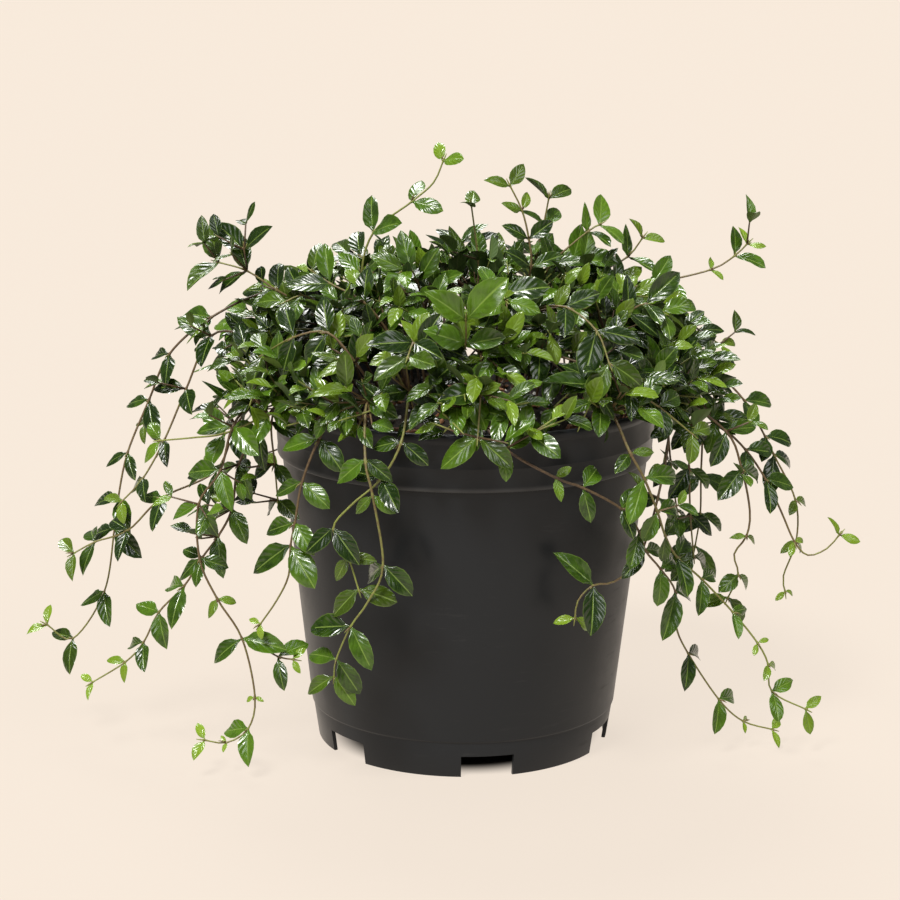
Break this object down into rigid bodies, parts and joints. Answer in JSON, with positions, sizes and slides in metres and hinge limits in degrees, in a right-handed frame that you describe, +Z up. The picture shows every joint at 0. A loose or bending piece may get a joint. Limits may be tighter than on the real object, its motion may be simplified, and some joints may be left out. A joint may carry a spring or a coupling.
{
  "type": "potted asian jasmine",
  "caption": "Evergreen trailing vine in a round nursery pot: twining runners with paired glossy leaves mound above the rim and spill down its sides.",
  "frame": {"origin": "on the ground, under the middle of the box round the whole plant; the pot's axis stands 9.6 mm towards +X and 8.2 mm towards -Y of it", "axes": "+Z up along the pot's axis; -Y towards the front, the side the plant is seen from; +X to the right as seen from the front"},
  "size_m": [0.3576, 0.22, 0.256],
  "materials": {
    "pot_plastic": "black blow-moulded plastic with a soft satin sheen and light handling scuffs",
    "potting_mix": "dark brown bark and peat mix with white grains of perlite",
    "bark": "rough red-brown bark splinters",
    "foliage": "glossy deep green leaves with pale veins and a quilted surface, on thin red-brown to green stems"
  },
  "bodies": {
    "root": {"bark_chip_1": "bark", "bark_chip_2": "bark", "bark_chip_3": "bark", "bark_chip_4": "bark", "pot": "pot_plastic", "runner_back_1": "foliage", "runner_back_2": "foliage", "runner_back_3": "foliage", "runner_back_4": "foliage", "runner_back_5": "foliage", "runner_back_6": "foliage", "runner_back_7": "foliage", "runner_back_8": "foliage", "runner_crown_01": "foliage", "runner_crown_02": "foliage", "runner_crown_03": "foliage", "runner_crown_04": "foliage", "runner_crown_05": "foliage", "runner_crown_06": "foliage", "runner_crown_07": "foliage", "runner_crown_08": "foliage", "runner_crown_09": "foliage", "runner_crown_10": "foliage", "runner_crown_11": "foliage", "runner_crown_12": "foliage", "runner_front_blush": "foliage", "runner_front_bright": "foliage", "runner_front_middle": "foliage", "runner_front_orange": "foliage", "runner_front_pale": "foliage", "runner_front_sprig": "foliage", "runner_front_trailing": "foliage", "runner_left_front": "foliage", "runner_left_high": "foliage", "runner_left_inner": "foliage", "runner_left_low": "foliage", "runner_left_outer": "foliage", "runner_left_rim": "foliage", "runner_left_short": "foliage", "runner_left_shoulder": "foliage", "runner_left_slanting": "foliage", "runner_left_tawny": "foliage", "runner_left_top": "foliage", "runner_right_crook": "foliage", "runner_right_hanging_back": "foliage", "runner_right_hanging_front": "foliage", "runner_right_hanging_mid": "foliage", "runner_right_high": "foliage", "runner_right_hook": "foliage", "runner_right_outer": "foliage", "runner_right_shoulder": "foliage", "runner_right_zigzag": "foliage", "runner_rim_right": "foliage", "runner_top_centre": "foliage", "runner_top_fork": "foliage", "runner_top_right": "foliage", "runner_top_shoulder": "foliage", "runner_top_slanting": "foliage", "runner_top_tall": "foliage", "soil": "potting_mix"}
  },
  "joints": []
}
